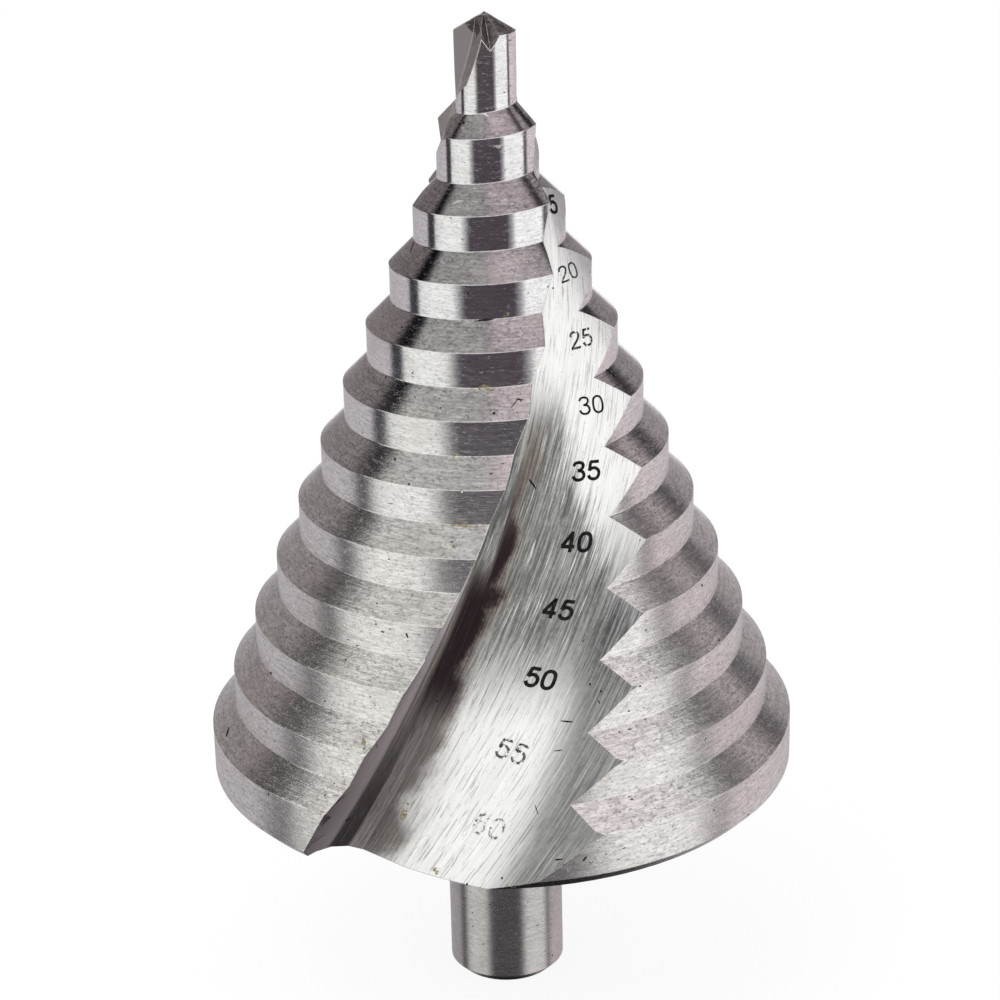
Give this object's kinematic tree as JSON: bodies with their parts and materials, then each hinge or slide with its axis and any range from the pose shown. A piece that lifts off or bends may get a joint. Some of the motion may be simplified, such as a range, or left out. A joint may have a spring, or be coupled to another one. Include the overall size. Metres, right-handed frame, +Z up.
{
  "type": "step drill",
  "caption": "Step drill for cutting round holes in sheet metal, a cone of stepped lands with spiral flutes and a split point on a plain round shank.",
  "frame": {"origin": "centre of the shank's end face, which the drill stands on", "axes": "+Z up along the drill's axis, from the shank to the point"},
  "size_m": [0.06, 0.0596, 0.1032],
  "materials": {
    "tool_steel": "bright ground tool steel with turning and grinding marks"
  },
  "bodies": {
    "root": {"drill_body": "tool_steel"}
  },
  "joints": []
}
